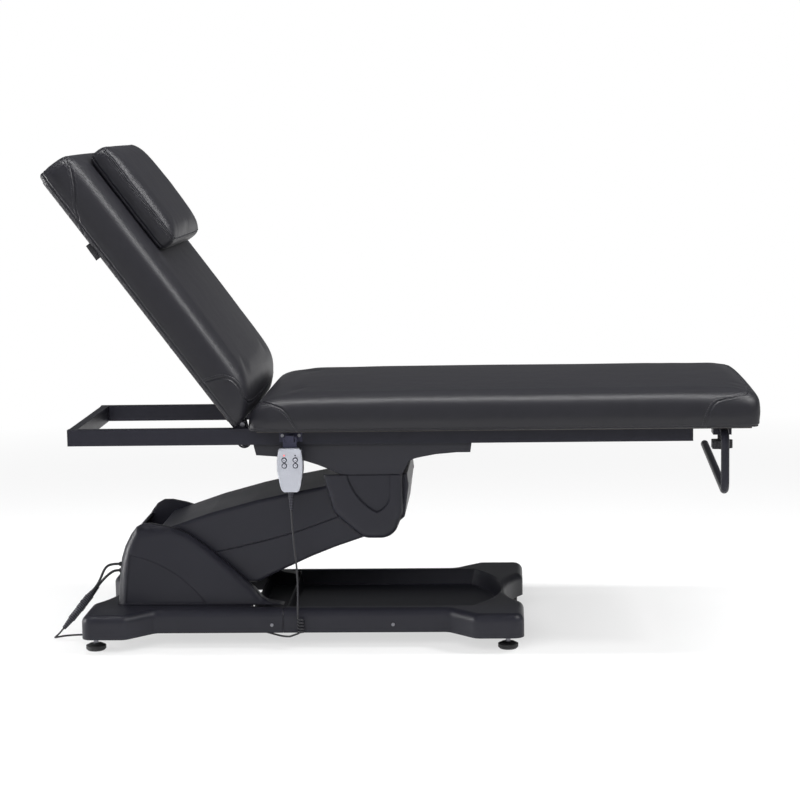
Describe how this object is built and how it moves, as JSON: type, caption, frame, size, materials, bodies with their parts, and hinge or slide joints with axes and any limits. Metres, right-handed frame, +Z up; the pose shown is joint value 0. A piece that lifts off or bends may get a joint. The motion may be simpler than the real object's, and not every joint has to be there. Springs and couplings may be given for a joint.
{
  "type": "tattoo chair",
  "caption": "Electric treatment chair with a long padded seat, tilting back, head pillow, lift arm on a wide moulded base, wired handset and paper-roll bar.",
  "frame": {"origin": "on the floor below the middle of the whole chair", "axes": "+X towards the foot end, +Y away from the handset side, +Z up"},
  "size_m": [1.7334, 0.6416, 1.2201],
  "materials": {
    "vinyl": "satin vinyl-coated upholstery fabric over foam",
    "plywood": "black-stained plywood",
    "powder_coat": "satin powder coat",
    "moulding": "satin fine-grained moulding",
    "black_plastic": "matte",
    "handset_shell": "satin",
    "button": "satin",
    "lamp": "gloss",
    "steel": "zinc-plated",
    "rubber": "matte",
    "cable": "satin jacket"
  },
  "bodies": {
    "base": {"base_frame": "powder_coat", "base_front_cover": "moulding", "base_rear_cover": "moulding", "lift_housing": "moulding", "foot_pads": "rubber", "foot_stems": "steel", "lower_arm_shaft": "steel", "base_pins": "steel", "control_box": "black_plastic", "cable_glands": "black_plastic", "cover_screws": "steel", "handset_cord_curl": "cable", "handset_cord_floor": "cable", "lead_a": "cable", "lead_b": "cable", "connector_a": "black_plastic", "connector_b": "black_plastic"},
    "lift_arm": {"arm_frame": "powder_coat", "arm_upper_cover": "moulding", "arm_lower_cover": "moulding"},
    "top": {"upper_arm_shaft": "steel", "carrier_frame": "powder_coat", "back_motor_pin": "steel", "back_motor": "black_plastic", "hub_cover": "moulding", "hub_screws": "steel", "wing_cover": "moulding", "near_rail": "powder_coat", "far_rail": "powder_coat", "cross_tubes": "powder_coat", "rail_caps": "black_plastic", "hinge_ears": "powder_coat", "hinge_pins": "steel", "seat_board": "plywood", "seat_cushion": "vinyl", "handset_front": "handset_shell", "handset_back": "black_plastic", "handset_lights": "lamp", "handset_hook": "powder_coat", "handset_bracket": "powder_coat", "bracket_screws": "steel", "cord_relief": "rubber", "holder_clamp": "powder_coat", "handset_cord_upper": "cable"},
    "level_link": {"level_link": "powder_coat"},
    "lift_motor": {"lift_motor": "black_plastic"},
    "lift_rod": {"lift_rod": "steel"},
    "backrest": {"backrest_frame": "powder_coat", "backrest_board": "plywood", "backrest_cushion": "vinyl"},
    "back_rod": {"back_rod": "steel"},
    "pillow": {"head_pillow": "vinyl"},
    "paper_bar": {"paper_roll_bar": "powder_coat", "bar_end_cap": "black_plastic"},
    "clamp_knob": {"clamp_knob": "black_plastic"},
    "back_up_button": {"back_up_button": "button"},
    "bed_up_button": {"bed_up_button": "button"},
    "back_down_button": {"back_down_button": "button"},
    "bed_down_button": {"bed_down_button": "button"}
  },
  "joints": [
    {"name": "lift", "type": "hinge", "parent": "base", "child": "lift_arm", "pos_m": [-0.605, 0, 0.17], "axis": [0, -1, 0], "range_deg": [-6, 32], "deforming": ["handset_cord_upper", "handset_cord_curl", "handset_cord_floor"]},
    {"name": "level", "type": "hinge", "parent": "lift_arm", "child": "top", "pos_m": [-0.09996, 0, 0.34193], "axis": [0, -1, 0], "range_deg": [-32.2, 6.2]},
    {"name": "link_turn", "type": "hinge", "parent": "base", "child": "level_link", "pos_m": [-0.605, 0.066, 0.12], "axis": [0, -1, 0], "range_deg": [-6.2, 32.2]},
    {"name": "lift_motor_swing", "type": "hinge", "parent": "base", "child": "lift_motor", "pos_m": [-0.545, 0, 0.07], "axis": [0, -1, 0], "range_deg": [-6, 31]},
    {"name": "lift_rod_slide", "type": "slide", "parent": "lift_motor", "child": "lift_rod", "axis": [0.8792, 0, 0.4765], "range_m": [-0.012, 0.063]},
    {"name": "back", "type": "hinge", "parent": "top", "child": "backrest", "pos_m": [-0.393, 0, 0.546], "axis": [0, 1, 0], "range_deg": [-53.5, 21.5]},
    {"name": "back_rod_slide", "type": "slide", "parent": "top", "child": "back_rod", "axis": [-0.9996, 0, 0.0277], "range_m": [-0.0618, 0.0249]},
    {"name": "pillow_slide", "type": "slide", "parent": "backrest", "child": "pillow", "axis": [-0.5948, 0, 0.8039], "range_m": [-0.05, 0.03]},
    {"name": "paper_bar_slide", "type": "slide", "parent": "top", "child": "paper_bar", "axis": [0, 1, 0], "range_m": [-0.03, 0.03]},
    {"name": "knob_turn", "type": "hinge", "parent": "top", "child": "clamp_knob", "pos_m": [0.767, -0.174, 0.495], "axis": [0, 0, 1], "continuous": true},
    {"name": "back_up_press", "type": "slide", "parent": "top", "child": "back_up_button", "axis": [0, 1, 0], "range_m": [0, 0.0012], "stiffness_N_per_m": 600},
    {"name": "bed_up_press", "type": "slide", "parent": "top", "child": "bed_up_button", "axis": [0, 1, 0], "range_m": [0, 0.0012], "stiffness_N_per_m": 600},
    {"name": "back_down_press", "type": "slide", "parent": "top", "child": "back_down_button", "axis": [0, 1, 0], "range_m": [0, 0.0012], "stiffness_N_per_m": 600},
    {"name": "bed_down_press", "type": "slide", "parent": "top", "child": "bed_down_button", "axis": [0, 1, 0], "range_m": [0, 0.0012], "stiffness_N_per_m": 600}
  ],
  "couplings": [
    {"joint": "level", "follows": "lift", "ratio": -1},
    {"joint": "link_turn", "follows": "lift", "ratio": 1},
    {"joint": "lift_motor_swing", "follows": "lift", "ratio": 0.955},
    {"joint": "lift_rod_slide", "follows": "lift", "m_per_rad": 0.1124},
    {"joint": "back_rod_slide", "follows": "back", "m_per_rad": 0.066}
  ]
}
